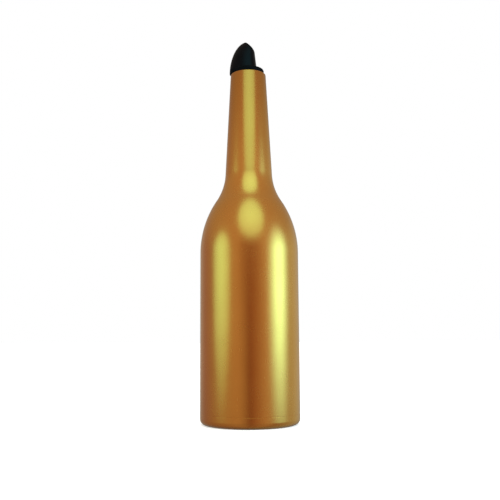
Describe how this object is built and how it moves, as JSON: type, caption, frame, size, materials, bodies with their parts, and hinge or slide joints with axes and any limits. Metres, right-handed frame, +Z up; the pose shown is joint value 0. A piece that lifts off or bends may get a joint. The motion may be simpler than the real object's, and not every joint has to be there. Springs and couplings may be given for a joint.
{
  "type": "flair bottle",
  "caption": "Practice bottle for flair bartending: cylinder body, long tapered neck, welded base, and a push-in beak pourer with a finned cork and an air tube.",
  "frame": {"origin": "centre of the base, on the plane that the bottle stands on", "axes": "+Z up along the bottle's axis to the pourer; the beak stands over the -X side of the neck and pours that way, and its mouth and air vent face +X"},
  "size_m": [0.075, 0.075, 0.298],
  "materials": {
    "gold_lacquer": "satin metallic gold lacquer",
    "black_plastic": "moulded black, satin",
    "black_rubber": "matt soft black",
    "natural_plastic": "natural unpigmented plastic"
  },
  "bodies": {
    "bottle": {"bottle_shell": "gold_lacquer", "base_cup": "gold_lacquer"},
    "cork": {"pourer_cork": "black_rubber"},
    "spout": {"pourer_spout": "black_plastic", "breather_tube": "natural_plastic"}
  },
  "joints": [
    {"name": "pourer_pull", "type": "slide", "parent": "bottle", "child": "cork", "axis": [0, 0, 1], "range_m": [0, 0.09]},
    {"name": "spout_turn", "type": "hinge", "parent": "cork", "child": "spout", "pos_m": [0, 0, 0.2531], "axis": [0, 0, 1], "continuous": true}
  ]
}
